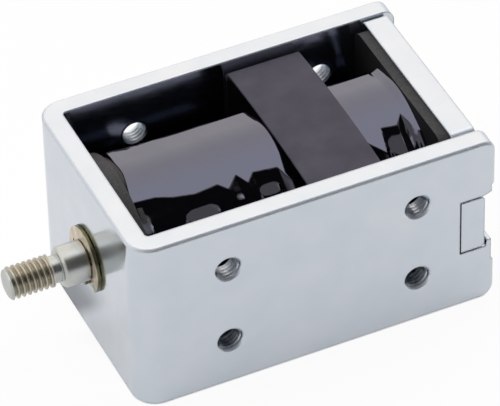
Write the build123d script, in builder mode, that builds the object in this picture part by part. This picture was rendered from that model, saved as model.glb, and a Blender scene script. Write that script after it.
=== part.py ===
from build123d import *
import math
import os

# Push-pull solenoid in an open box frame. The rod's axis runs along X, the threaded end points
# to -X, and the frame stands on the lower edges of its walls. Sizes are millimetres.
# Places along the axis are counted from the outer face of the front wall, towards +X.

# The frame, one strip bent to a U, and the plate that closes it
frame_length = 45.4
frame_height = 24.0
strip_thickness = 2.5
inner_bend_radius = 0.5
wall_corner_radius = 1.6
plate_thickness = 3.0
plate_setback = 1.3
plate_side_gap = 0.05
plate_corner_radius = 1.0
notch_height = 8.0
tab_gap = 0.2
tab_chamfer = 0.35
edge_break = 0.3

# The punch marks at the mouths of the notches, where the walls are staked over the tabs
stake_depth = 0.42
upper_stake_height = 1.1
upper_stake_flare = 0.35
lower_stake_height = 2.2
stake_lip_gap = 0.25
stake_lip_thickness = 0.5
stake_lip_height = 0.9

# The tapped holes in the side walls
mounting_thread_diameter = 3.0
countersink_diameter = 3.5
front_hole_margin = 11.45
rear_hole_margin = 9.95
hole_spacing_up = 11.0

# The rod and its clip
rod_diameter = 5.0
shoulder_reach = 3.7
rod_thread_diameter = 4.0
rod_thread_length = 5.4
rod_neck_diameter = 3.3
rod_neck_length = 1.1
rod_tip_chamfer = 0.45
shoulder_chamfer = 0.35
rod_end_chamfer = 0.4
clip_groove_diameter = 4.0
clip_diameter = 8.2
clip_thickness = 0.8
clip_web = 1.05
clip_lug_width = 4.0
clip_mouth_width = 2.8
clip_mouth_angle = 246.0
clip_tip_radius = 0.35
clip_foot_length = 2.0
clip_running_clearance = 0.05
clip_wall_gap = 0.08
rod_running_clearance = 0.05

# The plunger, its stroke and the core that stops it
plunger_diameter = 9.5
plunger_projection = 1.5
plunger_chamfer = 0.6
nose_tip_diameter = 6.8
nose_base_diameter = 8.6
nose_length = 4.0
rod_socket_depth = 7.0
stroke = 5.0
closed_gap = 0.05
flank_gap = 0.2
shim_thickness = 0.5
shim_diameter = 6.5
core_length = 14.5
core_tenon_diameter = 7.4
swage_chamfer = 0.3
core_rod_clearance = 0.12
bush_length = 4.5
bush_diameter = 6.3
assembly_clearance = 0.02

# The coil on its bobbin
tube_wall = 0.35
plunger_running_clearance = 0.05
bobbin_bore_clearance = 0.05
bobbin_hub_wall = 0.9
front_flange_thickness = 1.7
front_flange_lip = 0.6
rear_flange_thickness = 1.2
flange_edge_gap = 0.6
flange_corner_radius = 1.8
wire_slot_width = 1.4
wire_slot_depth = 2.6
wire_slot_spacing = 9.0
winding_depth = 4.4
coil_wall_gap = 1.1
tape_thickness = 0.4
winding_end_gap = 0.35
tape_edge_chamfer = 0.3

# The strip across the coil and the joints under it
strip_place = 23.25
strip_width = 9.2
cover_thickness = 0.3
cover_lift = 0.1
cover_arch = 0.5
cover_wall_gap = 0.15
cover_bend_radius = 1.2
cover_leg_length = 12.5
splice_diameter = 1.0
splice_length = 7.4
splice_offset = 5.2
splice_end_chamfer = 0.25

# What follows from these sizes
axis_height = frame_height / 2
tube_bore_radius = plunger_diameter / 2 + plunger_running_clearance
tube_outer_radius = tube_bore_radius + tube_wall
hub_bore_radius = tube_outer_radius + bobbin_bore_clearance
hub_radius = hub_bore_radius + bobbin_hub_wall
winding_radius = hub_radius + winding_depth
coil_radius = winding_radius + tape_thickness
inner_width = 2 * (coil_radius + coil_wall_gap)
frame_width = inner_width + 2 * strip_thickness
outer_bend_radius = inner_bend_radius + strip_thickness
rod_reach = shoulder_reach + rod_neck_length + rod_thread_length
plate_place = frame_length - plate_setback - plate_thickness
plunger_end = frame_length + plunger_projection
front_x = (rod_reach - plunger_end) / 2
core_rim = strip_thickness + core_length
seat_floor = core_rim - nose_length
nose_tip = seat_floor + closed_gap + stroke + shim_thickness
nose_base = nose_tip + nose_length
nose_taper = (nose_base_diameter - nose_tip_diameter) / 2 / nose_length
winding_start = strip_thickness + front_flange_thickness + winding_end_gap
winding_end = plate_place - rear_flange_thickness - winding_end_gap
groove_width = clip_thickness + 2 * clip_running_clearance
clip_place = -clip_wall_gap - clip_thickness
axis_plane = Plane(origin=(front_x, 0, axis_height), x_dir=(1, 0, 0), z_dir=(0, -1, 0))


def cross_plane(place, turn=0):
    """Plane square to the axis at a place along it, its local x turned from +Y towards +Z."""
    across = (0, math.cos(math.radians(turn)), math.sin(math.radians(turn)))
    return Plane(origin=(front_x + place, 0, axis_height), x_dir=across, z_dir=(1, 0, 0))


def turned(points):
    """Face to revolve about the axis, from (place along the axis, radius) points."""
    with BuildSketch(axis_plane) as profile:
        with BuildLine():
            Polyline(*points, close=True)
        make_face()
    return profile.sketch


turning_axis = Axis((0, 0, axis_height), (1, 0, 0))


# Frame
def wall_hole_places():
    """Centres of the tapped holes in a side wall, from the front face and the axis."""
    for along in (front_hole_margin, frame_length - rear_hole_margin):
        for up in (-hole_spacing_up / 2, hole_spacing_up / 2):
            yield along, up


def is_outer_skin(face):
    """True for the frame's outer faces and outer bends, which meet the upper and lower rims."""
    middle = face.center()
    upright = abs(face.normal_at(middle).Z) < 0.5
    across = abs(middle.Y) > frame_width / 2 - strip_thickness / 2
    ahead = middle.X < front_x + strip_thickness / 2
    return upright and (across or ahead) and middle.X < front_x + frame_length - strip_thickness


def touches_rim(edge):
    """True for an edge at the outline of the outer skin, not one between two of its faces."""
    upright = abs(edge.tangent_at(0.5).Z) > 0.99
    inside = edge.center().X < front_x + frame_length - strip_thickness
    return not (upright and inside)


with BuildPart() as frame:
    with BuildSketch(Plane.XY):
        with Locations((front_x, 0)):
            Rectangle(frame_length, frame_width, align=(Align.MIN, Align.CENTER))
        with Locations((front_x + strip_thickness, 0)):
            Rectangle(
                frame_length, inner_width, align=(Align.MIN, Align.CENTER), mode=Mode.SUBTRACT
            )
    extrude(amount=frame_height)
    inner_corners = frame.edges().filter_by(Axis.Z).group_by(Axis.X)[1]
    fillet(inner_corners, inner_bend_radius)
    outer_corners = frame.edges().filter_by(Axis.Z).group_by(Axis.X)[0]
    fillet(outer_corners, outer_bend_radius)
    wall_tips = frame.edges().filter_by(Axis.Y).group_by(Axis.X)[-1]
    fillet(wall_tips, wall_corner_radius)
    # The punched edges are broken outside
    outer_skin = [face for face in frame.faces() if is_outer_skin(face)]
    rims = [edge for face in outer_skin for edge in face.edges() if touches_rim(edge)]
    chamfer(rims, edge_break)
    # The notches for the plate's tabs, open to the wall ends and staked over the tabs
    with BuildSketch(Plane.XZ.offset(-frame_width)):
        with BuildLine():
            notch_start = front_x + plate_place - tab_gap
            plate_rear = front_x + plate_place + plate_thickness
            wall_tip = front_x + frame_length
            stake_face = wall_tip - stake_depth
            notch_top = axis_height + notch_height / 2
            notch_bottom = axis_height - notch_height / 2
            Polyline(
                (notch_start, notch_bottom),
                (plate_rear + stake_lip_gap, notch_bottom),
                (stake_face - stake_lip_thickness, notch_bottom + stake_lip_height),
                (stake_face, notch_bottom + stake_lip_height),
                (stake_face, notch_bottom - lower_stake_height),
                (wall_tip, notch_bottom - lower_stake_height - stake_depth),
                (wall_tip + stake_depth, notch_bottom - lower_stake_height - stake_depth),
                (wall_tip + stake_depth, notch_top + upper_stake_flare + upper_stake_height),
                (stake_face, notch_top + upper_stake_flare + upper_stake_height),
                (stake_face, notch_top + upper_stake_flare),
                (plate_rear, notch_top),
                (notch_start, notch_top),
                close=True,
            )
        make_face()
    extrude(amount=2 * frame_width, mode=Mode.SUBTRACT)
    # The core's hole, countersunk outside for the swaged end of its tenon
    revolve(
        turned(
            [
                (0, 0),
                (0, core_tenon_diameter / 2 + swage_chamfer),
                (swage_chamfer, core_tenon_diameter / 2),
                (strip_thickness, core_tenon_diameter / 2),
                (strip_thickness, 0),
            ]
        ),
        axis=turning_axis,
        mode=Mode.SUBTRACT,
    )
    for side in (-1, 1):
        wall_plane = Plane(
            origin=(front_x, side * frame_width / 2, axis_height), x_dir=(1, 0, 0), z_dir=(0, side, 0)
        )
        for along, up in wall_hole_places():
            with Locations(wall_plane * Location((along, -side * up, 0))):
                CounterSinkHole(
                    mounting_thread_diameter / 2, countersink_diameter / 2, depth=strip_thickness
                )
frame.part.label = "frame"


# End plate
with BuildPart() as end_plate:
    with BuildSketch(cross_plane(plate_place)):
        body = Rectangle(inner_width - 2 * plate_side_gap, frame_height)
        fillet(body.vertices(), plate_corner_radius)
        Rectangle(frame_width, notch_height - 2 * tab_gap)
        Circle(tube_outer_radius + assembly_clearance, mode=Mode.SUBTRACT)
    extrude(amount=plate_thickness)
    rear_corners = end_plate.edges().filter_by(Axis.Y).group_by(Axis.X)[-1]
    tab_corners = [edge for edge in rear_corners if abs(edge.center().Y) > inner_width / 2]
    chamfer(tab_corners, tab_chamfer)
end_plate.part.label = "end_plate"


# Fixed core, with the rod's bush in its front end and the plunger's seat in its rear end
def seat_radius(place):
    """Radius of the conical seat, the flank gap wider than the closed plunger's nose."""
    nose_front = seat_floor + closed_gap + shim_thickness
    return nose_tip_diameter / 2 + flank_gap + (place - nose_front) * nose_taper


bush_seat_radius = bush_diameter / 2 + assembly_clearance
core_radius = plunger_diameter / 2
core_bore_radius = rod_diameter / 2 + core_rod_clearance
with BuildPart() as fixed_core:
    revolve(
        turned(
            [
                (0, bush_seat_radius),
                (0, core_tenon_diameter / 2 + swage_chamfer),
                (swage_chamfer, core_tenon_diameter / 2),
                (strip_thickness, core_tenon_diameter / 2),
                (strip_thickness, core_radius),
                (core_rim, core_radius),
                (core_rim, seat_radius(core_rim)),
                (seat_floor, seat_radius(seat_floor)),
                (seat_floor, core_bore_radius),
                (bush_length, core_bore_radius),
                (bush_length, bush_seat_radius),
            ]
        ),
        axis=turning_axis,
    )
fixed_core.part.label = "fixed_core"


with BuildPart() as rod_bush:
    with BuildSketch(cross_plane(0)):
        Circle(bush_diameter / 2)
        Circle(rod_diameter / 2 + rod_running_clearance, mode=Mode.SUBTRACT)
    extrude(amount=bush_length)
rod_bush.part.label = "rod_bush"


with BuildPart() as guide_tube:
    with BuildSketch(cross_plane(strip_thickness)):
        Circle(tube_outer_radius)
        Circle(tube_bore_radius, mode=Mode.SUBTRACT)
    extrude(amount=plate_place + plate_thickness - strip_thickness)
guide_tube.part.label = "guide_tube"


# Bobbin, winding and tape
bobbin_length = plate_place - strip_thickness
flange_width = inner_width - 2 * inner_bend_radius
with BuildPart() as bobbin:
    with BuildSketch(cross_plane(strip_thickness)):
        Circle(hub_radius)
    extrude(amount=bobbin_length)
    # The front flange is round, and the rear one square, with slots for the wires below
    with BuildSketch(cross_plane(strip_thickness)):
        Circle(coil_radius + front_flange_lip)
    extrude(amount=front_flange_thickness)
    with BuildSketch(cross_plane(plate_place - rear_flange_thickness)):
        edge = Rectangle(flange_width, frame_height - 2 * flange_edge_gap)
        fillet(edge.vertices(), flange_corner_radius)
        slot_reach = wire_slot_depth - frame_height / 2 + flange_edge_gap
        with Locations((-wire_slot_spacing / 2, slot_reach), (wire_slot_spacing / 2, slot_reach)):
            Rectangle(
                wire_slot_width, frame_height, align=(Align.CENTER, Align.MAX), mode=Mode.SUBTRACT
            )
    extrude(amount=rear_flange_thickness)
    with Locations(cross_plane(plate_place)):
        Hole(hub_bore_radius, depth=bobbin_length)
bobbin.part.label = "bobbin"


with BuildPart() as winding:
    with BuildSketch(cross_plane(winding_start)):
        Circle(winding_radius)
        Circle(hub_radius, mode=Mode.SUBTRACT)
    extrude(amount=winding_end - winding_start)
winding.part.label = "winding"


with BuildPart() as coil_tape:
    with BuildSketch(cross_plane(winding_start)):
        Circle(coil_radius)
        Circle(winding_radius, mode=Mode.SUBTRACT)
    extrude(amount=winding_end - winding_start)
    tape_rims = coil_tape.edges().filter_by(GeomType.CIRCLE).sort_by(SortBy.RADIUS)[-2:]
    chamfer(tape_rims, tape_edge_chamfer)
coil_tape.part.label = "coil_tape"


# Strip across the coil: it bridges from wall to wall and tucks down beside the coil
with BuildPart() as cover_strip:
    for inset, how in ((0, Mode.ADD), (cover_thickness, Mode.SUBTRACT)):
        half_width = inner_width / 2 - cover_wall_gap - inset
        crown = coil_radius + cover_lift + cover_thickness - inset
        leg_end = coil_radius - cover_leg_length - inset
        with BuildSketch(cross_plane(strip_place)) as outline:
            with BuildLine():
                top = ThreePointArc(
                    (-half_width, crown - cover_arch), (0, crown), (half_width, crown - cover_arch)
                )
                Polyline(top @ 1, (half_width, leg_end), (-half_width, leg_end), top @ 0)
            make_face()
            fillet(outline.vertices().group_by(Axis.Y)[-1], cover_bend_radius - inset)
        extrude(amount=strip_width, mode=how)
cover_strip.part.label = "cover_strip"


# Joints of the coil's two ends, each in a sleeve that lies on the tape under the strip
def splice(side):
    """A sleeve with chamfered ends, lying along X on the tape at one side of the top."""
    radius = splice_diameter / 2
    height = math.sqrt((coil_radius + radius + assembly_clearance) ** 2 - splice_offset**2)
    start = front_x + strip_place + (strip_width - splice_length) / 2
    middle = (start, side * splice_offset, axis_height + height)
    with BuildPart() as sleeve:
        with BuildSketch(Plane(origin=middle, x_dir=(1, 0, 0), z_dir=(0, -1, 0))) as half:
            Rectangle(splice_length, radius, align=(Align.MIN, Align.MIN))
            chamfer(half.vertices().group_by(Axis.Y)[-1], splice_end_chamfer)
        revolve(axis=Axis(middle, (1, 0, 0)))
    return sleeve


start_splice = splice(-1)
start_splice.part.label = "start_splice"
finish_splice = splice(1)
finish_splice.part.label = "finish_splice"


# Plunger, rod and clip at rest, with the clip against the front wall
with BuildPart() as plunger:
    revolve(
        turned(
            [
                (nose_tip, rod_diameter / 2),
                (nose_tip, nose_tip_diameter / 2),
                (nose_base, nose_base_diameter / 2),
                (nose_base, plunger_diameter / 2),
                (plunger_end - plunger_chamfer, plunger_diameter / 2),
                (plunger_end, plunger_diameter / 2 - plunger_chamfer),
                (plunger_end, 0),
                (nose_tip + rod_socket_depth, 0),
                (nose_tip + rod_socket_depth, rod_diameter / 2),
            ]
        ),
        axis=turning_axis,
    )
plunger.part.label = "plunger"


with BuildPart() as push_rod:
    shoulder = -shoulder_reach
    thread_end = shoulder - rod_neck_length
    groove_start = clip_place - clip_running_clearance
    groove_end = groove_start + groove_width
    rod_end = nose_tip + rod_socket_depth
    revolve(
        turned(
            [
                (-rod_reach, 0),
                (-rod_reach, rod_thread_diameter / 2 - rod_tip_chamfer),
                (-rod_reach + rod_tip_chamfer, rod_thread_diameter / 2),
                (thread_end, rod_thread_diameter / 2),
                (thread_end, rod_neck_diameter / 2),
                (shoulder, rod_neck_diameter / 2),
                (shoulder, rod_diameter / 2 - shoulder_chamfer),
                (shoulder + shoulder_chamfer, rod_diameter / 2),
                (groove_start, rod_diameter / 2),
                (groove_start, clip_groove_diameter / 2),
                (groove_end, clip_groove_diameter / 2),
                (groove_end, rod_diameter / 2),
                (rod_end - rod_end_chamfer, rod_diameter / 2),
                (rod_end, rod_diameter / 2 - rod_end_chamfer),
                (rod_end, 0),
            ]
        ),
        axis=turning_axis,
    )
push_rod.part.label = "push_rod"


with BuildPart() as stop_shim:
    with BuildSketch(cross_plane(nose_tip - shim_thickness)):
        Circle(shim_diameter / 2)
        Circle(rod_diameter / 2 + assembly_clearance, mode=Mode.SUBTRACT)
    extrude(amount=shim_thickness)
stop_shim.part.label = "stop_shim"


with BuildPart() as retaining_clip:
    clip_radius = clip_diameter / 2
    lug_reach = clip_radius - clip_web / 2
    foot_width = lug_reach - clip_mouth_width / 2
    foot_side = (clip_mouth_width + foot_width) / 2
    with BuildSketch(cross_plane(clip_place, clip_mouth_angle)) as stamping:
        Circle(clip_radius)
        Circle(clip_radius - clip_web, mode=Mode.SUBTRACT)
        # One lug opposite the mouth, and a foot at each side of it
        Rectangle(lug_reach, clip_lug_width, align=(Align.MAX, Align.CENTER))
        with Locations((0, -foot_side), (0, foot_side)):
            Rectangle(clip_foot_length, foot_width, align=(Align.MIN, Align.CENTER))
        Rectangle(
            clip_diameter, clip_mouth_width, align=(Align.MIN, Align.CENTER), mode=Mode.SUBTRACT
        )
        fillet(stamping.vertices().group_by(Axis.X)[-1], clip_tip_radius)
        Circle(clip_groove_diameter / 2 + clip_running_clearance, mode=Mode.SUBTRACT)
    extrude(amount=clip_thickness)
retaining_clip.part.label = "retaining_clip"


os.makedirs("parts", exist_ok=True)
export_step(frame.part, "parts/frame.step")
export_step(end_plate.part, "parts/end_plate.step")
export_step(fixed_core.part, "parts/fixed_core.step")
export_step(rod_bush.part, "parts/rod_bush.step")
export_step(guide_tube.part, "parts/guide_tube.step")
export_step(bobbin.part, "parts/bobbin.step")
export_step(winding.part, "parts/winding.step")
export_step(coil_tape.part, "parts/coil_tape.step")
export_step(cover_strip.part, "parts/cover_strip.step")
export_step(start_splice.part, "parts/start_splice.step")
export_step(finish_splice.part, "parts/finish_splice.step")
export_step(plunger.part, "parts/plunger.step")
export_step(push_rod.part, "parts/push_rod.step")
export_step(stop_shim.part, "parts/stop_shim.step")
export_step(retaining_clip.part, "parts/retaining_clip.step")
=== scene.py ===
import math

import bmesh
import bpy
from mathutils import Matrix, Vector, noise


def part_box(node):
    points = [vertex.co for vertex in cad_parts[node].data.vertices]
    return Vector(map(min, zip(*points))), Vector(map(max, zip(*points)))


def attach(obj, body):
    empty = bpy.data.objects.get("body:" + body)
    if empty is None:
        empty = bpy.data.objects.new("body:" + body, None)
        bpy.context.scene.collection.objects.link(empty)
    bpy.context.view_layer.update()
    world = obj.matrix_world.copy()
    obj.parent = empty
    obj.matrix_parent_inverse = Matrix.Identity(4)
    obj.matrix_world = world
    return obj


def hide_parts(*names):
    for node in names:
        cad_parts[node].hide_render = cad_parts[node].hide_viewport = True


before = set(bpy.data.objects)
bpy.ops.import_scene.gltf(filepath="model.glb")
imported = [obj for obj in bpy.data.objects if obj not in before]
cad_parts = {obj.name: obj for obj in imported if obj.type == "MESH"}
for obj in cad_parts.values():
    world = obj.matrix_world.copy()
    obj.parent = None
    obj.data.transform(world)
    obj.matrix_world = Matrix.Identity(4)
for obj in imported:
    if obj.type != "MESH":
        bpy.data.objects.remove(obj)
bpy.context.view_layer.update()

# Push-pull solenoid in an open box frame. Metres, with the rod's axis along X and the threaded
# end to -X. Places along the axis are counted from the front wall's outer face, towards +X, and
# angles round the axis from the top, towards the near side, -Y.
MM = 0.001
frame_low, frame_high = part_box("frame")
front_x = frame_low.x
axis_z = (frame_low.z + frame_high.z) / 2
wall_y = frame_high.y


# The camera, at the photograph's angle
camera_aim = Vector((2.243, -0.299, 12.718)) * MM
camera_range = 554.06 * MM
camera_azimuth = math.radians(-23.92)
camera_elevation = math.radians(41.58)
camera_roll = math.radians(1.52)
camera_lens = 341.42
sensor_width = 36.0


def make_camera():
    """Camera on a long lens, turned a little about its own line of sight."""
    data = bpy.data.cameras.new("photo_camera")
    data.lens = camera_lens
    data.sensor_width = sensor_width
    data.clip_start = camera_range / 10
    data.clip_end = camera_range * 10
    camera = bpy.data.objects.new("photo_camera", data)
    back = Vector(
        (
            math.sin(camera_azimuth) * math.cos(camera_elevation),
            -math.cos(camera_azimuth) * math.cos(camera_elevation),
            math.sin(camera_elevation),
        )
    )
    turn = (-back).to_track_quat("-Z", "Y").to_matrix().to_4x4()
    turn = turn @ Matrix.Rotation(-camera_roll, 4, "Z")
    camera.matrix_world = Matrix.Translation(camera_aim + back * camera_range) @ turn
    bpy.context.scene.collection.objects.link(camera)
    bpy.context.scene.camera = camera


# Node helpers. Texture places are object coordinates, which are metres in this frame.
def new_material(name, colour, metallic, roughness):
    """Material with its plain values on the shader's own sockets."""
    material = bpy.data.materials.new(name)
    material.use_nodes = True
    shader = material.node_tree.nodes["Principled BSDF"]
    shader.inputs["Base Color"].default_value = (*colour, 1)
    shader.inputs["Metallic"].default_value = metallic
    shader.inputs["Roughness"].default_value = roughness
    return material, material.node_tree, shader


def place_of(tree, stretch=(1, 1, 1)):
    """Object coordinates, each axis multiplied by its stretch."""
    coordinates = tree.nodes.new("ShaderNodeTexCoord")
    mapping = tree.nodes.new("ShaderNodeMapping")
    mapping.inputs["Scale"].default_value = stretch
    tree.links.new(coordinates.outputs["Object"], mapping.inputs["Vector"])
    return mapping.outputs["Vector"]


def grain(tree, size, detail=3, stretch=(1, 1, 1)):
    """Noise whose features are about size metres across."""
    texture = tree.nodes.new("ShaderNodeTexNoise")
    texture.inputs["Scale"].default_value = 1 / size
    texture.inputs["Detail"].default_value = detail
    tree.links.new(place_of(tree, stretch), texture.inputs["Vector"])
    return texture.outputs["Fac"]


def between(tree, factor, low, high):
    """A value from low to high as the factor goes from 0.3 to 0.7, where noise has its range."""
    spread = tree.nodes.new("ShaderNodeMapRange")
    spread.inputs["From Min"].default_value = 0.3
    spread.inputs["From Max"].default_value = 0.7
    spread.inputs["To Min"].default_value = low
    spread.inputs["To Max"].default_value = high
    tree.links.new(factor, spread.inputs["Value"])
    return spread.outputs["Result"]


def blend_colours(tree, factor, first, second):
    """First colour where the factor is 0.3 or less, second where it is 0.7 or more."""
    ramp = tree.nodes.new("ShaderNodeValToRGB")
    ramp.color_ramp.elements[0].position = 0.3
    ramp.color_ramp.elements[0].color = (*first, 1)
    ramp.color_ramp.elements[1].position = 0.7
    ramp.color_ramp.elements[1].color = (*second, 1)
    tree.links.new(factor, ramp.inputs["Fac"])
    return ramp.outputs["Color"]


def soft_edges(tree, radius):
    """Normal that rounds the edges off over a radius, as handling and plating do."""
    rounded = tree.nodes.new("ShaderNodeBevel")
    rounded.samples = 8
    rounded.inputs["Radius"].default_value = radius
    return rounded.outputs["Normal"]


def on_rim(tree, normal):
    """1 where the surface leans halfway between upright and level, as a rounded rim does."""
    upward = parts_of(tree, normal)["Z"]
    rise = multiply(tree, upward, upward)
    lean = multiply(tree, rise, calculate(tree, "SUBTRACT", 1.0, rise))
    return multiply(tree, lean, 4.0)


def parts_of(tree, vector):
    """The X, Y and Z of a vector, as outputs by name."""
    node = tree.nodes.new("ShaderNodeSeparateXYZ")
    tree.links.new(vector, node.inputs["Vector"])
    return node.outputs


def calculate(tree, operation, first, second):
    """Math node on two values, each a number or another node's output."""
    node = tree.nodes.new("ShaderNodeMath")
    node.operation = operation
    for socket, value in zip(node.inputs, (first, second)):
        if isinstance(value, float):
            socket.default_value = value
        else:
            tree.links.new(value, socket)
    return node.outputs[0]


def multiply(tree, first, second):
    """Product of two values, each a number or another node's output."""
    return calculate(tree, "MULTIPLY", first, second)


def mix_value(tree, factor, first, second):
    """First value at factor 0, second at factor 1."""
    mix = tree.nodes.new("ShaderNodeMix")
    tree.links.new(factor, mix.inputs["Factor"])
    for name, value in (("A", first), ("B", second)):
        if isinstance(value, float):
            mix.inputs[name].default_value = value
        else:
            tree.links.new(value, mix.inputs[name])
    return mix.outputs["Result"]


def bump(tree, shader, heights, normal=None):
    """Relief from (factor, height in metres) pairs, laid over each other and over a normal."""
    for factor, height in heights:
        node = tree.nodes.new("ShaderNodeBump")
        node.inputs["Distance"].default_value = height
        tree.links.new(factor, node.inputs["Height"])
        if normal is not None:
            tree.links.new(normal, node.inputs["Normal"])
        normal = node.outputs["Normal"]
    tree.links.new(normal, shader.inputs["Normal"])


# Materials
def zinc_plate():
    """Bright zinc plating on drawn strip: faintly cloudy, fine-grained, and matt on its rims."""
    darker, lighter = (0.560, 0.609, 0.675), (0.602, 0.640, 0.696)
    polished, dull, rim_roughness = 0.11, 0.19, 0.62
    rim_rounding = 0.45 * MM
    cloud_height, grain_height = 0.03 * MM, 0.0008 * MM
    material, tree, shader = new_material("zinc_plate", (0.59, 0.63, 0.69), 1, 0.16)
    clouds = grain(tree, 9 * MM, 2)
    mottle = grain(tree, 4 * MM, 6)
    fine = grain(tree, 0.5 * MM, 4, (0.35, 1, 1))
    tree.links.new(blend_colours(tree, mottle, darker, lighter), shader.inputs["Base Color"])
    edges = soft_edges(tree, rim_rounding)
    polish = between(tree, fine, polished, dull)
    roughness = mix_value(tree, on_rim(tree, edges), polish, rim_roughness)
    tree.links.new(roughness, shader.inputs["Roughness"])
    bump(tree, shader, [(clouds, cloud_height), (fine, grain_height)], edges)
    return material


def turned_steel(name, colour, roughness, thread_colour=None):
    """Turned steel, with fine rings round the rod's axis, and another colour on its thread."""
    material, tree, shader = new_material(name, colour, 1, roughness)
    round_the_axis = (1, 0.02, 0.02)
    rings = grain(tree, 0.12 * MM, 2, round_the_axis)
    stains = grain(tree, 2.5 * MM, 3)
    shade = blend_colours(tree, stains, tuple(0.8 * part for part in colour), colour)
    if thread_colour:
        along = parts_of(tree, place_of(tree))["X"]
        thread_start = front_x + rod_tip_place + thread_tip_chamfer
        thread_end = front_x + rod_tip_place + thread_length
        on_thread = multiply(
            tree,
            ramp_of(tree, along, thread_end + 0.4 * MM, thread_end - 0.4 * MM),
            ramp_of(tree, along, thread_start - 0.1 * MM, thread_start + 0.5 * MM),
        )
        shade = mix_light(tree, on_thread, shade, thread_colour)
    tree.links.new(shade, shader.inputs["Base Color"])
    dull, polished = roughness * 1.2, roughness * 0.85
    tree.links.new(between(tree, stains, dull, polished), shader.inputs["Roughness"])
    bump(tree, shader, [(rings, 0.002 * MM)])
    return material


def yellowed_steel_painted_shade():
    """Passivated spring steel, beige to olive in patches, with painted light and shade: lit beige above
    the axis, shaded olive below it, painted dark shade on the faces turned back to the wall, and nearly
    black painted shade in its mouth.
    """
    material, tree, shader = new_material("clip_steel", (0.36, 0.33, 0.22), 1, 0.28)
    patches = grain(tree, 1.2 * MM, 3)
    # Painted light and shade: the same steel lit beige above the axis and shaded olive below it
    upper = blend_colours(tree, patches, (0.40, 0.35, 0.25), (0.66, 0.56, 0.45))
    lower = blend_colours(tree, patches, (0.17, 0.16, 0.10), (0.34, 0.32, 0.23))
    # Painted shade on the faces turned back towards the wall
    rear = blend_colours(tree, patches, (0.09, 0.09, 0.045), (0.20, 0.19, 0.11))
    # Painted shade, nearly black, in the clip's mouth
    mouth_shade_colour = (0.02, 0.02, 0.015)
    coordinates = tree.nodes.new("ShaderNodeTexCoord")
    place, facing = coordinates.outputs["Object"], coordinates.outputs["Normal"]
    height = parts_of(tree, place)["Z"]
    above = ramp_of(tree, height, axis_z - 2 * MM, axis_z + 1 * MM)
    behind = ramp_of(tree, parts_of(tree, facing)["X"], -0.22, 0.02)
    colour = mix_light(tree, behind, mix_light(tree, above, lower, upper), rear)
    # Where the painted mouth shade goes: near the axis and below it
    inner = ramp_of(tree, axis_distance(tree, place), 3.5 * MM, 3.1 * MM)
    low = ramp_of(tree, height, axis_z - 1.5 * MM, axis_z - 2.3 * MM)
    colour = mix_light(tree, multiply(tree, inner, low), colour, mouth_shade_colour)
    tree.links.new(colour, shader.inputs["Base Color"])
    bump(tree, shader, [(grain(tree, 0.2 * MM), 0.004 * MM)])
    return material


def axis_distance(tree, place):
    """Distance of a place from the rod's axis."""
    flat = tree.nodes.new("ShaderNodeVectorMath")
    flat.operation = "MULTIPLY"
    flat.inputs[1].default_value = (0, 1, 1)
    tree.links.new(place, flat.inputs[0])
    distance = tree.nodes.new("ShaderNodeVectorMath")
    distance.operation = "DISTANCE"
    distance.inputs[1].default_value = (0, 0, axis_z)
    tree.links.new(flat.outputs["Vector"], distance.inputs[0])
    return distance.outputs["Value"]


def smooth_metal(name, colour, roughness):
    """Drawn or sintered metal with a little wear."""
    material, tree, shader = new_material(name, colour, 1, roughness)
    wear = grain(tree, 0.8 * MM, 4)
    darker = tuple(0.7 * part for part in colour)
    tree.links.new(blend_colours(tree, wear, darker, colour), shader.inputs["Base Color"])
    bump(tree, shader, [(wear, 0.004 * MM)])
    return material


def copper_wire():
    """Enamelled wire in close turns round the rod's axis."""
    wire_diameter, turn_height = 0.35 * MM, 0.15 * MM
    scale_of_unit_waves = 0.314
    material, tree, shader = new_material("copper_wire", (0.55, 0.20, 0.09), 1, 0.28)
    turns = tree.nodes.new("ShaderNodeTexWave")
    turns.bands_direction = "X"
    turns.wave_profile = "SIN"
    turns.inputs["Scale"].default_value = scale_of_unit_waves / wire_diameter
    turns.inputs["Distortion"].default_value = 0.4
    tree.links.new(place_of(tree), turns.inputs["Vector"])
    bump(tree, shader, [(turns.outputs["Fac"], turn_height)])
    return material


def moulded_plastic():
    """Glass-filled black nylon with a fine moulded grain, dark grey in tone, and painted shade that turns
    its flat faces across the axis nearly black.
    """
    material, tree, shader = new_material("bobbin_plastic", (0.020, 0.020, 0.022), 0, 0.6)
    shader.inputs["Specular IOR Level"].default_value = 0.2
    fine = grain(tree, 0.25 * MM, 4)
    grained_grey = blend_colours(tree, fine, (0.040, 0.040, 0.043), (0.070, 0.070, 0.074))
    # Painted shade: the flat faces across the axis, which lie between parts, are made nearly black
    facing = parts_of(tree, tree.nodes.new("ShaderNodeTexCoord").outputs["Normal"])["X"]
    on_face = ramp_of(tree, calculate(tree, "ABSOLUTE", facing, 0.0), 0.3, 0.8)
    face_shade_colour = (0.006, 0.006, 0.007)
    colour = mix_light(tree, on_face, grained_grey, face_shade_colour)
    tree.links.new(colour, shader.inputs["Base Color"])
    bump(tree, shader, [(fine, 0.02 * MM)])
    return material


def gloss_tape():
    """Glossy black tape: a sharp sheen over a black body."""
    material, tree, shader = new_material("gloss_tape", (0.0015, 0.0015, 0.002), 0, 0.06)
    shader.inputs["IOR"].default_value = 2.24
    shader.inputs["Specular Tint"].default_value = (0.73, 0.755, 1.0, 1)
    bump(tree, shader, [(grain(tree, 0.9 * MM, 3), 0.004 * MM)])
    return material


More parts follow.
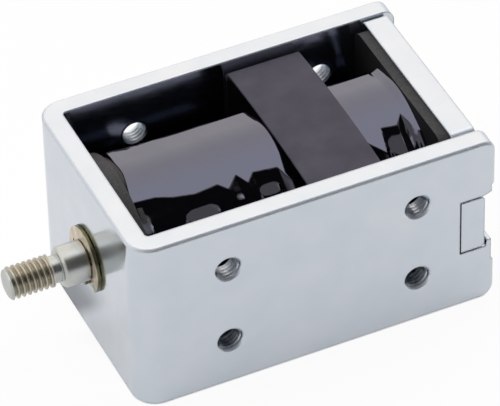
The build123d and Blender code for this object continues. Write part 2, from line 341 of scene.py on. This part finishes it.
def matt_strip():
    """Matt insulating strip, dark purple-grey and fine-grained, with painted shade that turns its legs
    black below the crown.
    """
    material, tree, shader = new_material("matt_strip", (0.086, 0.081, 0.105), 0, 0.85)
    shader.inputs["Specular IOR Level"].default_value = 0.2
    fine = grain(tree, 0.3 * MM, 4)
    broad = grain(tree, 3 * MM, 2)
    face = blend_colours(tree, broad, (0.071, 0.068, 0.091), (0.089, 0.086, 0.114))
    height = parts_of(tree, place_of(tree))["Z"]
    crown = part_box("cover_strip")[1].z
    # Painted shade: darkening from 1.2 mm below the crown to black at 2.2 mm, down the strip's legs
    leg_shade = ramp_of(tree, height, crown - 1.2 * MM, crown - 2.2 * MM)
    leg_shade_colour = (0.010, 0.009, 0.012)
    colour = mix_light(tree, leg_shade, face, leg_shade_colour)
    tree.links.new(colour, shader.inputs["Base Color"])
    bump(tree, shader, [(fine, 0.03 * MM)])
    return material


def sleeve_plastic():
    """Shrink sleeve over the splices."""
    material, tree, shader = new_material("sleeve_plastic", (0.03, 0.03, 0.032), 0, 0.45)
    bump(tree, shader, [(grain(tree, 0.4 * MM), 0.01 * MM)])
    return material


# Stage: a pale floor, and a soft studio that is bright overhead and behind
floor_half = 1.5
side_edge_angle = math.radians(108)
near_edge_angle = math.radians(100)
overhead_edge_angle = math.radians(62)
horizon_top = 0.10
horizon_blend = 1.6
front_light_start, front_light_full = -0.2, -0.5
behind_light = (1.45, 1.36, 1.26)
overhead_light = (1.58, 1.55, 1.55)
horizon_light = (0.95, 0.96, 0.98)
dark_light = (0.012, 0.012, 0.013)
side_light = (0.44, 0.43, 0.38)
front_light = (0.55, 0.53, 0.50)
glow_to_camera = 0.94
glow_in_metal = 0.71
sharp_edge, soft_edge = 0.03, 0.35
floor_white = (0.9, 0.9, 0.9)
floor_shade_distance = 20 * MM
# Shares of open sky above the floor between which its own glow sets in, to the eye and in metal
open_to_camera = (0.15, 0.35)
open_in_metal = (0.15, 0.65)
# Soft shade on the floor at the front wall, taken as the rod's, which shows only in metal. It is
# full out to shadow_reach before the wall, lies between two places across the floor, and then fades.
shadow_reach = 1.5 * MM
shadow_across = (4 * MM, 12.5 * MM)
shadow_edge = 3 * MM
shadow_depth = 0.5


def make_floor():
    """White to the eye and in the metal, and lit like any floor, so that it keeps a shadow."""
    mesh = bpy.data.meshes.new("floor")
    corners = [(-1, -1), (1, -1), (1, 1), (-1, 1)]
    mesh.from_pydata([(x * floor_half, y * floor_half, 0) for x, y in corners], [], [(0, 1, 2, 3)])
    floor = bpy.data.objects.new("floor", mesh)
    bpy.context.scene.collection.objects.link(floor)
    material, tree, shader = new_material("floor", floor_white, 0, 0.9)
    shader.inputs["Specular IOR Level"].default_value = 0
    shine = tree.nodes.new("ShaderNodeEmission")
    path = tree.nodes.new("ShaderNodeLightPath")
    mirrored = calculate(
        tree, "MAXIMUM", path.outputs["Is Glossy Ray"], path.outputs["Is Transmission Ray"]
    )
    open_above = tree.nodes.new("ShaderNodeAmbientOcclusion")
    open_above.samples = 8
    open_above.inputs["Distance"].default_value = floor_shade_distance
    openness = open_above.outputs["AO"]
    to_camera = multiply(tree, path.outputs["Is Camera Ray"], glow_to_camera)
    to_camera = multiply(tree, to_camera, ramp_of(tree, openness, *open_to_camera))
    in_metal = multiply(tree, mirrored, glow_in_metal)
    in_metal = multiply(tree, in_metal, ramp_of(tree, openness, *open_in_metal))
    shaded = multiply(tree, mirrored, rod_shadow(tree))
    black, white = (0.0, 0.0, 0.0), (1.0, 1.0, 1.0)
    tree.links.new(mix_light(tree, shaded, floor_white, black), shader.inputs["Base Color"])
    tree.links.new(mix_light(tree, shaded, white, black), shine.inputs["Color"])
    seen = calculate(tree, "MAXIMUM", to_camera, in_metal)
    mix = tree.nodes.new("ShaderNodeMixShader")
    tree.links.new(seen, mix.inputs["Fac"])
    tree.links.new(shader.outputs["BSDF"], mix.inputs[1])
    tree.links.new(shine.outputs["Emission"], mix.inputs[2])
    tree.links.new(mix.outputs["Shader"], tree.nodes["Material Output"].inputs["Surface"])
    mesh.materials.append(material)


def rod_shadow(tree):
    """Share of the floor's light that the soft shade at the front wall takes."""
    place = parts_of(tree, place_of(tree))
    near, far = shadow_across
    tip = front_x - shadow_reach
    half_edge = shadow_edge / 2
    covered = multiply(
        tree,
        ramp_of(tree, place["Y"], near - half_edge, near + half_edge),
        ramp_of(tree, place["Y"], far + half_edge, far - half_edge),
    )
    covered = multiply(tree, covered, ramp_of(tree, place["X"], tip - shadow_edge, tip))
    return multiply(tree, covered, shadow_depth)


def ramp_of(tree, value, start, end):
    """Smooth step from 0 to 1 as the value goes from start to end, which may be the lower one."""
    step = tree.nodes.new("ShaderNodeMapRange")
    step.interpolation_type = "SMOOTHSTEP"
    step.inputs["From Min"].default_value = start
    step.inputs["From Max"].default_value = end
    tree.links.new(value, step.inputs["Value"])
    return step.outputs["Result"]


def mix_light(tree, factor, first, second):
    """First light at factor 0, second at factor 1. Each is a colour or another node's output."""
    mix = tree.nodes.new("ShaderNodeMix")
    mix.data_type = "RGBA"
    tree.links.new(factor, mix.inputs["Factor"])
    for socket, light in ((mix.inputs["A"], first), (mix.inputs["B"], second)):
        if isinstance(light, tuple):
            socket.default_value = (*light, 1)
        else:
            tree.links.new(light, socket)
    return mix.outputs["Result"]


def make_studio():
    """World light by direction: a band for each edge angle round the X axis, and white to the camera."""
    world = bpy.data.worlds.new("studio")
    bpy.context.scene.world = world
    world.use_nodes = True
    tree = world.node_tree
    background = tree.nodes["Background"]
    direction = tree.nodes.new("ShaderNodeTexCoord").outputs["Generated"]
    parts = parts_of(tree, direction)
    ahead = ramp_of(tree, parts["X"], front_light_start, front_light_full)
    light = mix_light(tree, ahead, dark_light, front_light)
    for edge, width, beyond in (
        (side_edge_angle, sharp_edge, side_light),
        (near_edge_angle, sharp_edge, overhead_light),
        (overhead_edge_angle, soft_edge, behind_light),
    ):
        across = tree.nodes.new("ShaderNodeVectorMath")
        across.operation = "DOT_PRODUCT"
        across.inputs[1].default_value = (0, math.sin(edge), -math.cos(edge))
        tree.links.new(direction, across.inputs[0])
        light = mix_light(tree, ramp_of(tree, across.outputs["Value"], -width, width), light, beyond)
    low = ramp_of(tree, parts["Z"], horizon_top * horizon_blend, horizon_top)
    light = mix_light(tree, low, light, horizon_light)
    path = tree.nodes.new("ShaderNodeLightPath")
    light = mix_light(tree, path.outputs["Is Camera Ray"], light, (1.0, 1.0, 1.0))
    tree.links.new(light, background.inputs["Color"])


# Mesh helpers
sharp_angle = math.radians(35)


def axis_point(place, angle, radius):
    """Point in the shared frame from a place along the axis, an angle round it and a radius."""
    return (front_x + place, -radius * math.sin(angle), axis_z + radius * math.cos(angle))


def smooth_step(value):
    """0 to 1 as the value goes from 0 to 1, with level ends."""
    value = min(1, max(0, value))
    return value * value * (3 - 2 * value)


def grid_piece(name, rings, closed_round=True):
    """Mesh from rings of points, all of one length, joined ring to ring and round each ring."""
    count = len(rings[0])
    points = [point for ring in rings for point in ring]
    faces = []
    last = count if closed_round else count - 1
    for row in range(len(rings) - 1):
        for column in range(last):
            after = (column + 1) % count
            here, there = row * count, (row + 1) * count
            faces.append((here + column, here + after, there + after, there + column))
    mesh = bpy.data.meshes.new(name)
    mesh.from_pydata(points, [], faces)
    return add_piece(name, mesh)


def shade_smooth(mesh):
    """Smooth shading but for the sharp edges."""
    mesh.polygons.foreach_set("use_smooth", [True] * len(mesh.polygons))
    mesh.set_sharp_from_angle(angle=sharp_angle)


def add_piece(name, mesh):
    """Object for a mesh, smooth but for its sharp edges."""
    mesh.validate()
    shade_smooth(mesh)
    piece = bpy.data.objects.new(name, mesh)
    bpy.context.scene.collection.objects.link(piece)
    return piece


def close_ends(piece, count):
    """Flat caps on the first and last ring of a piece made from rings of that many points."""
    mesh = piece.data
    total = len(mesh.vertices)
    points = [tuple(vertex.co) for vertex in mesh.vertices]
    faces = [tuple(face.vertices) for face in mesh.polygons]
    faces.append(tuple(range(count - 1, -1, -1)))
    faces.append(tuple(range(total - count, total)))
    mesh.clear_geometry()
    mesh.from_pydata(points, [], faces)
    shade_smooth(mesh)


# Push rod, turned, with a rolled M4 thread at its end
rod_low, rod_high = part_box("push_rod")
clip_low, clip_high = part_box("retaining_clip")
clip_sheet = 0.45 * MM
clip_front_rounding = 0.28 * MM
clip_rear_rounding = 0.14 * MM
clip_rounding_segments = 5
rod_radius = (rod_high.y - rod_low.y) / 2
rod_tip_place = rod_low.x - front_x
rod_end_place = rod_high.x - front_x
thread_pitch = 0.7 * MM
thread_radius = 2.0 * MM
thread_depth = 0.40 * MM
thread_length = 5.4 * MM
thread_crest_power = 0.8
thread_fade_length = 0.6 * thread_pitch
neck_radius = 1.65 * MM
neck_length = 1.1 * MM
thread_tip_chamfer = 0.3 * MM
groove_radius = 2.0 * MM
groove_play = 0.05 * MM
rod_segments = 96
rod_shoulder_chamfer = 0.35 * MM
rod_end_chamfer = 0.4 * MM


def thread_rise(place, angle):
    """Radius of the thread at a place along it: rounded crests, deeper roots, fading out at the neck."""
    turn = (place / thread_pitch - angle / (2 * math.pi)) % 1
    wave = 0.5 + 0.5 * math.cos(2 * math.pi * turn)
    ridge = wave**thread_crest_power
    fade = smooth_step((thread_length - place) / thread_fade_length)
    cut = thread_depth * (1 - ridge) * fade
    tip_limit = thread_radius - thread_tip_chamfer + place
    return min(thread_radius - cut, tip_limit)


def push_rod():
    """The whole rod as rings along its axis: thread, neck, shoulder, shaft with the clip's groove, end."""
    shoulder = rod_tip_place + thread_length + neck_length
    groove_start = clip_high.x - clip_sheet - front_x - groove_play
    groove_end = clip_high.x - front_x + groove_play
    angles = [2 * math.pi * step / rod_segments for step in range(rod_segments)]
    rings = []
    steps = 150
    for step in range(steps + 1):
        along = thread_length * step / steps
        rings.append(
            [axis_point(rod_tip_place + along, angle, thread_rise(along, angle)) for angle in angles]
        )
    chamfer = rod_shoulder_chamfer
    fine = 0.06 * MM
    profile = [
        (rod_tip_place + thread_length + fine, neck_radius),
        (shoulder - fine, neck_radius),
        (shoulder, neck_radius + fine),
        (shoulder, rod_radius - chamfer),
        (shoulder + 0.5 * fine, rod_radius - chamfer + fine),
        (shoulder + chamfer - fine, rod_radius - fine * 0.5),
        (shoulder + chamfer, rod_radius),
        (groove_start - fine, rod_radius),
        (groove_start, rod_radius - fine),
        (groove_start, groove_radius),
        (groove_end, groove_radius),
        (groove_end, rod_radius - fine),
        (groove_end + fine, rod_radius),
        (rod_end_place - rod_end_chamfer, rod_radius),
        (rod_end_place, rod_radius - rod_end_chamfer),
    ]
    for place, radius in profile:
        rings.append([axis_point(place, angle, radius) for angle in angles])
    piece = grid_piece("push_rod_threaded", rings)
    close_ends(piece, rod_segments)
    piece.data.materials.append(materials["rod_steel"])
    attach(piece, "plunger_and_rod")
    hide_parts("push_rod")


# Tape round the coil
tape_low, tape_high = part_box("coil_tape")
coil_radius = (tape_high.z - tape_low.z) / 2
tape_start = tape_low.x - front_x
rear_flange_room = 1.22 * MM
tape_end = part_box("bobbin")[1].x - front_x - rear_flange_room
tape_settling = 0.06 * MM
tape_inner_radius = coil_radius - 0.38 * MM
tape_edge_radius = 0.15 * MM
# The guessed inner wrap, a dark ring that stands as painted shade at the tape's front
inner_wrap_width = 0.6 * MM
inner_wrap_depth = 0.2 * MM
# The creases where the sheen ends, read in the photo: each corner's place in mm and angle
near_crease = [
    (3.5, 21), (7, 22.5), (9, 26), (11.5, 28.5), (14.5, 27), (15.5, 32), (17, 24.5), (18, 32),
    (19, 26.5), (22, 28), (23, 40), (33, 30), (35, 41.5), (35.5, 24.5), (37.5, 26), (38.5, 18.5),
    (39.5, 34),
]
far_crease = [(4, 30), (10, 27), (22, 26.5), (38, 25)]
# The angles that the flat face before a crease and the steep face past it look towards
near_flat, near_steep = math.radians(24.5), math.radians(34.5)
far_flat, far_steep = math.radians(12.5), math.radians(46)
crease_fade = math.radians(60)
wrinkle_height = 0.05 * MM
wrinkle_along, wrinkle_round = 2.6 * MM, 5 * MM
wrinkle_cut, sharp_wrinkle_cut = 3.7, 5.1
wrinkle_start = 1.2 * MM
# Small flat patches past the near crease, also read in the photo: places from and to in mm, angles from
# and to
tape_patches = [
    (4.5, 5.7, 30, 44), (9.5, 13.8, 37, 46), (16.0, 17.1, 37, 41), (18.9, 21.6, 36, 44),
    (35.6, 39.0, 31, 45),
]
patch_tilt = math.radians(30)
patch_fade = math.radians(25)
patch_edge = 0.5 * MM
patch_roundness = 0.35
tape_rear_rise = 0.35 * MM
tape_rear_reach = 1.2 * MM
# The front edge lies back by slant_far on the far side, and slant_span further forward on the near
slant_far = 0.5 * MM
slant_span = 0.83 * MM
slant_reach = 2.5 * MM
slant_turn_start, slant_turn = math.radians(-6), math.radians(28)


def crease_angle(corners, place):
    """Angle of a crease at a place, on the straight line between its two nearest corners."""
    along = place / MM
    if along <= corners[0][0]:
        return math.radians(corners[0][1])
    for (start, low), (end, high) in zip(corners, corners[1:]):
        if along <= end:
            return math.radians(low + (high - low) * (along - start) / (end - start))
    return math.radians(corners[-1][1])


def fold_rise(angle, crease, flat_before, steep_after):
    """Height over the round coil: the tape runs on flat to the crease and turns down past it."""
    top = max(0, crease - flat_before) ** 2 / 2 * coil_radius
    if angle <= crease:
        return max(0, angle - flat_before) ** 2 / 2 * coil_radius
    reach = max(0, steep_after - crease)
    left = max(0, steep_after - angle)
    drop = (reach**2 - left**2) / 2 * coil_radius
    return (top - drop) * smooth_step(1 - (angle - crease) / crease_fade)


def patch_rise(place, angle):
    """Height over the round coil of the flat patches, which all lean the same way."""
    rise = 0
    for start, end, low, high in tape_patches:
        inside = min(place - start * MM, end * MM - place) / patch_edge + 0.5
        off_middle = (2 * place / MM - start - end) / (end - start)
        trim = patch_roundness * off_middle**4 * (high - low)
        low, high = math.radians(low + trim), math.radians(high - trim)
        if inside > 0 and low < angle < high + patch_fade:
            across = min(angle, high)
            height = ((across - patch_tilt) ** 2 - (low - patch_tilt) ** 2) / 2 * coil_radius
            rise += height * smooth_step(inside) * smooth_step((high + patch_fade - angle) / patch_fade)
    return rise


def tape_wrinkle(place, angle):
    """Small wrinkles, longer round the coil than along it, from two cuts through a noise field."""
    where = Vector((place / wrinkle_along, angle * coil_radius / wrinkle_round, wrinkle_cut))
    broad = noise.noise(where)
    sharp = 0.5 - abs(noise.noise(where * 2.3 + Vector((0, 0, sharp_wrinkle_cut))))
    return wrinkle_height * (broad + 0.3 * sharp)


def tape_radius(place, angle):
    """Outer radius of the tape, rounded off in front and rising to the flange at the rear."""
    from_start = place - tape_start
    inset = max(0, tape_edge_radius - from_start)
    rounding = tape_edge_radius - math.sqrt(max(0, tape_edge_radius**2 - inset**2))
    calm = min(1, from_start / wrinkle_start)
    folded = min(1, from_start / tape_edge_radius)
    rise = fold_rise(angle, crease_angle(near_crease, place), near_flat, near_steep)
    rise += fold_rise(-angle, crease_angle(far_crease, place), far_flat, far_steep)
    rise += patch_rise(place, angle)
    rear = tape_rear_rise * smooth_step(1 - (tape_end - place) / tape_rear_reach)
    radius = coil_radius - tape_settling - rounding + rise * folded + rear
    return max(radius + tape_wrinkle(place, angle) * calm, tape_inner_radius)


def inner_wrap_shade():
    """Matt dark ring where the tape's front edge lies further back: a guessed inner wrap that also stands
    as painted shade in the gap, so that no sheen shows there.
    """
    around = [math.radians(3 * step) for step in range(120)]
    front, rear = tape_start, tape_start + inner_wrap_width
    outer = coil_radius - inner_wrap_depth
    section = (
        (front, tape_inner_radius),
        (front, outer),
        (rear, outer),
        (rear, tape_inner_radius),
        (front, tape_inner_radius),
    )
    rings = [[axis_point(place, angle, radius) for angle in around] for place, radius in section]
    piece = grid_piece("inner_wrap_shade", rings)
    piece.data.materials.append(materials["bobbin_plastic"])
    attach(piece, "stator")


def tape_slant(place, angle):
    """Shift of the tape's front edge along the axis: it lies askew, ahead on the near side."""
    near = smooth_step((angle - slant_turn_start) / slant_turn)
    shift = slant_far - slant_span * near
    return shift * smooth_step(1 - (place - tape_start) / slant_reach)


def tape_piece():
    """The tape's mesh: closer rings at the rounded front end, where the surface turns fastest."""
    columns = 480
    around = [math.radians(-180 + 360 * step / columns) for step in range(columns)]
    ends = [tape_edge_radius * (1 - math.cos(math.radians(15 * step))) for step in range(6)]
    steps = 360
    span = tape_end - tape_start - tape_edge_radius
    middle = [tape_edge_radius + span * step / steps for step in range(steps + 1)]
    places = [tape_start + offset for offset in ends + middle]
    rings = [[axis_point(tape_start, angle, tape_inner_radius) for angle in around]]
    for place in places:
        rings.append(
            [
                axis_point(place + tape_slant(place, angle), angle, tape_radius(place, angle))
                for angle in around
            ]
        )
    rings.append([axis_point(tape_end, angle, tape_inner_radius) for angle in around])
    piece = grid_piece("coil_tape_wrapped", rings)
    piece.data.materials.append(materials["gloss_tape"])
    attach(piece, "stator")
    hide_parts("coil_tape")


# Threads in the tapped holes of the side walls
hole_radius = 1.5 * MM
# The ridge's foot lies a little inside the wall
hole_root_radius = hole_radius + 0.02 * MM
hole_crest_radius = 1.32 * MM
hole_pitch = 0.5 * MM
wall_thickness = 2.5 * MM
hole_countersink = 0.3 * MM
hole_places = (11.45 * MM, 35.45 * MM)
hole_heights = (-5.5 * MM, 5.5 * MM)
hole_steps_round = 40
hole_fade_steps = 12
# The ridge in section: shares of its width along the hole, with the radius there
hole_ridge_width = 0.94 * hole_pitch
hole_ridge = (
    (-0.5, hole_root_radius),
    (-0.1, hole_crest_radius),
    (0.1, hole_crest_radius),
    (0.5, hole_root_radius),
)


def hole_thread(name, place, height, side):
    """Helical ridge inside one tapped hole, fading out at both ends."""
    length = wall_thickness - hole_countersink - 0.1 * MM
    deepest = wall_thickness - 0.01 * MM
    steps = int(length / hole_pitch * hole_steps_round)
    rings = []
    for step in range(steps + 1):
        angle = 2 * math.pi * step / hole_steps_round
        depth = hole_countersink + length * step / steps
        fade = min(1, step / hole_fade_steps, (steps - step) / hole_fade_steps)
        ring = []
        for offset, radius in hole_ridge:
            reach = hole_root_radius - (hole_root_radius - radius) * fade
            inward = min(max(depth + offset * hole_ridge_width, hole_countersink), deepest)
            ring.append(
                (
                    front_x + place + reach * math.cos(angle),
                    side * (wall_y - inward),
                    axis_z + height + reach * math.sin(angle),
                )
            )
        rings.append(ring)
    piece = grid_piece(name, rings, closed_round=False)
    piece.data.materials.append(materials["zinc_plate"])
    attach(piece, "stator")


def hole_threads():
    """One thread for each of the eight holes."""
    for side, wall in ((-1, "near"), (1, "far")):
        for place, end in zip(hole_places, ("front", "rear")):
            for height, level in zip(hole_heights, ("lower", "upper")):
                hole_thread(f"thread_{wall}_{end}_{level}", place, height, side)


def clip_piece():
    """The clip on its node's outline, as thin as its sheet, with the edges rounded by stamping."""
    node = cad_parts["retaining_clip"]
    shape = bmesh.new()
    shape.from_mesh(node.data)
    shape.transform(node.matrix_world)
    bmesh.ops.remove_doubles(shape, verts=shape.verts, dist=0.001 * MM)
    bmesh.ops.dissolve_limit(
        shape, angle_limit=math.radians(1), verts=shape.verts, edges=shape.edges
    )
    squeeze = clip_sheet / (clip_high.x - clip_low.x)
    for corner in shape.verts:
        corner.co.x = clip_high.x - (clip_high.x - corner.co.x) * squeeze
    front_plane, rear_plane = clip_high.x - clip_sheet, clip_high.x
    near_enough = 0.01 * MM
    for plane, rounding in ((front_plane, clip_front_rounding), (rear_plane, clip_rear_rounding)):
        edges = [
            edge
            for edge in shape.edges
            if all(abs(corner.co.x - plane) < near_enough for corner in edge.verts)
        ]
        bmesh.ops.bevel(
            shape,
            geom=edges,
            offset=rounding,
            offset_type="OFFSET",
            segments=clip_rounding_segments,
            profile=0.5,
            affect="EDGES",
            clamp_overlap=True,
        )
    mesh = bpy.data.meshes.new("clip_stamped")
    shape.to_mesh(mesh)
    shape.free()
    piece = add_piece("clip_stamped", mesh)
    piece.data.materials.append(materials["clip_steel"])
    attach(piece, "clip")
    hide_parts("retaining_clip")


def dress_nodes():
    """Puts each CAD node's material on it."""
    slots = {
        "frame": "zinc_plate",
        "end_plate": "zinc_plate",
        "fixed_core": "core_steel",
        "rod_bush": "bush_bronze",
        "guide_tube": "tube_brass",
        "bobbin": "bobbin_plastic",
        "winding": "copper_wire",
        "coil_tape": "gloss_tape",
        "cover_strip": "matt_strip",
        "start_splice": "sleeve_plastic",
        "finish_splice": "sleeve_plastic",
        "plunger": "plunger_steel",
        "push_rod": "rod_steel",
        "stop_shim": "shim_brass",
        "retaining_clip": "clip_steel",
    }
    for node, slot in slots.items():
        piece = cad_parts[node]
        piece.data.materials.clear()
        piece.data.materials.append(materials[slot])


materials = {
    "zinc_plate": zinc_plate(),
    "core_steel": turned_steel("core_steel", (0.50, 0.51, 0.53), 0.25),
    "bush_bronze": smooth_metal("bush_bronze", (0.45, 0.32, 0.18), 0.4),
    "tube_brass": smooth_metal("tube_brass", (0.62, 0.48, 0.22), 0.25),
    "bobbin_plastic": moulded_plastic(),
    "copper_wire": copper_wire(),
    "gloss_tape": gloss_tape(),
    "matt_strip": matt_strip(),
    "sleeve_plastic": sleeve_plastic(),
    "plunger_steel": turned_steel("plunger_steel", (0.55, 0.56, 0.58), 0.22),
    "rod_steel": turned_steel("rod_steel", (0.56, 0.58, 0.56), 0.30, (0.44, 0.41, 0.34)),
    "shim_brass": smooth_metal("shim_brass", (0.62, 0.48, 0.22), 0.3),
    "clip_steel": yellowed_steel_painted_shade(),
}

bpy.context.scene.view_settings.view_transform = "Standard"
make_camera()
make_floor()
make_studio()
dress_nodes()
clip_piece()
push_rod()
tape_piece()
inner_wrap_shade()
hole_threads()
